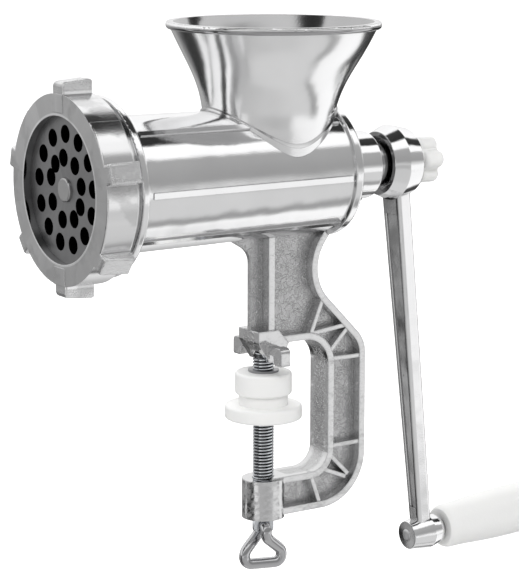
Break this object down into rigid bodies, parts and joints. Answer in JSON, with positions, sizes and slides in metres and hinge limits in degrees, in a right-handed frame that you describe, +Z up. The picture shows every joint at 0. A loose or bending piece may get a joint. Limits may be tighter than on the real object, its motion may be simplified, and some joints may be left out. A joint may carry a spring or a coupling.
{
  "type": "manual meat grinder",
  "caption": "Hand-cranked cast meat grinder: flared hopper, screw-fed barrel with hole plate and ring nut, clamped to a table edge by a C-frame with a pad screw.",
  "frame": {"origin": "On the clamp screw's axis, in the plane of the table top that the jaw stands on.", "axes": "+X runs along the barrel from the outlet to the crank, +Z is up, +Y is across; the table comes in from -X under the jaw."},
  "size_m": [0.3126, 0.099, 0.2672],
  "materials": {
    "cast_polished": "polished casting",
    "cast_plain": "tumbled casting",
    "ring_turned": "turned",
    "steel": "machined",
    "zinc_steel": "bright zinc plated",
    "bronze": "sintered",
    "fibre": "plain",
    "white_plastic": "satin moulded"
  },
  "bodies": {
    "frame": {"barrel": "cast_polished", "hopper": "cast_polished", "clamp_frame": "cast_polished", "rear_bush": "bronze", "thrust_washer": "fibre", "plate_key": "steel"},
    "crank": {"auger": "cast_plain", "auger_stud": "steel", "knife": "steel", "shaft_collar": "steel", "crank_arm": "cast_plain", "grip_pin": "steel"},
    "grip": {"grip": "white_plastic"},
    "thumb_washer": {"thumb_washer": "steel"},
    "thumb_screw": {"thumb_knob": "white_plastic", "thumb_stud": "steel"},
    "plate": {"hole_plate": "steel"},
    "ring": {"ring_nut": "ring_turned"},
    "pad": {"clamp_pad": "white_plastic"},
    "screw": {"clamp_screw": "zinc_steel", "pad_clips": "steel"},
    "loop": {"loop_handle": "zinc_steel"}
  },
  "joints": [
    {"name": "crank_spin", "type": "hinge", "parent": "frame", "child": "crank", "pos_m": [0, 0, 0.088], "axis": [1, 0, 0], "continuous": true},
    {"name": "grip_spin", "type": "hinge", "parent": "crank", "child": "grip", "pos_m": [0.0949, 0, -0.0994], "axis": [0.9988, 0, 0.048], "continuous": true},
    {"name": "thumb_out", "type": "slide", "parent": "crank", "child": "thumb_washer", "axis": [1, 0, 0], "range_m": [0, 0.01]},
    {"name": "thumb_turn", "type": "hinge", "parent": "thumb_washer", "child": "thumb_screw", "pos_m": [0.09, 0, 0.088], "axis": [1, 0, 0], "range_deg": [0, 2880]},
    {"name": "plate_out", "type": "slide", "parent": "frame", "child": "plate", "axis": [-1, 0, 0], "range_m": [0, 0.012]},
    {"name": "ring_turn", "type": "hinge", "parent": "plate", "child": "ring", "pos_m": [-0.098, 0, 0.088], "axis": [-1, 0, 0], "range_deg": [0, 2880]},
    {"name": "pad_drop", "type": "slide", "parent": "frame", "child": "pad", "axis": [0, 0, -1], "range_m": [0, 0.027]},
    {"name": "screw_turn", "type": "hinge", "parent": "pad", "child": "screw", "pos_m": [0, 0, -0.04], "axis": [0, 0, -1], "range_deg": [0, 6480]},
    {"name": "loop_swing", "type": "hinge", "parent": "screw", "child": "loop", "pos_m": [0, 0, -0.08], "axis": [0.2924, 0.9563, 0], "range_deg": [-60, 60]}
  ],
  "couplings": [
    {"joint": "thumb_turn", "follows": "thumb_out", "rad_per_m": 5026.5},
    {"joint": "ring_turn", "follows": "plate_out", "rad_per_m": 4188.8},
    {"joint": "screw_turn", "follows": "pad_drop", "rad_per_m": 4188.8}
  ]
}
